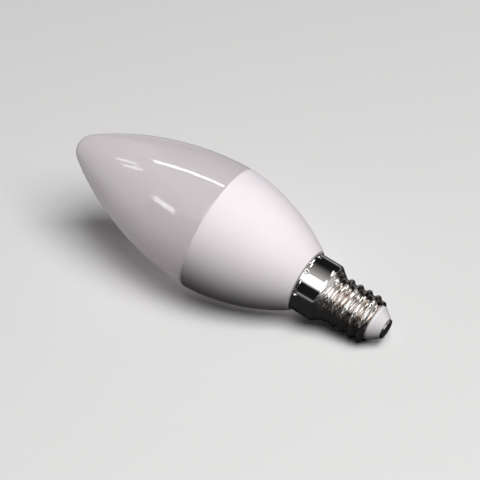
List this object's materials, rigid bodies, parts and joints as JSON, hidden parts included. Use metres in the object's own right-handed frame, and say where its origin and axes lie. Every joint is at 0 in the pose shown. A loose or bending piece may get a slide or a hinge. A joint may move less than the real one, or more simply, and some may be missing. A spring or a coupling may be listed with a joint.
{
  "type": "candle bulb",
  "caption": "Candle-shaped LED bulb with an opal diffuser, a white housing and a small nickel-plated Edison screw cap.",
  "frame": {"origin": "middle of the centre contact's outer face, the lowest point of the cap", "axes": "+Z along the bulb's axis from the cap to the tip of the diffuser; -Y is the side that the picture shows"},
  "size_m": [0.037, 0.037, 0.1012],
  "materials": {
    "opal_diffuser": "smooth opal plastic, unlit",
    "white_housing": "satin white moulding",
    "nickel_cap": "bright nickel plate",
    "white_insulator": "satin white moulding",
    "contact_metal": "nickel plate, lightly dulled"
  },
  "bodies": {
    "root": {"diffuser": "opal_diffuser", "housing": "white_housing", "cap_shell": "nickel_cap", "cap_insulator": "white_insulator", "centre_contact": "contact_metal"}
  },
  "joints": []
}
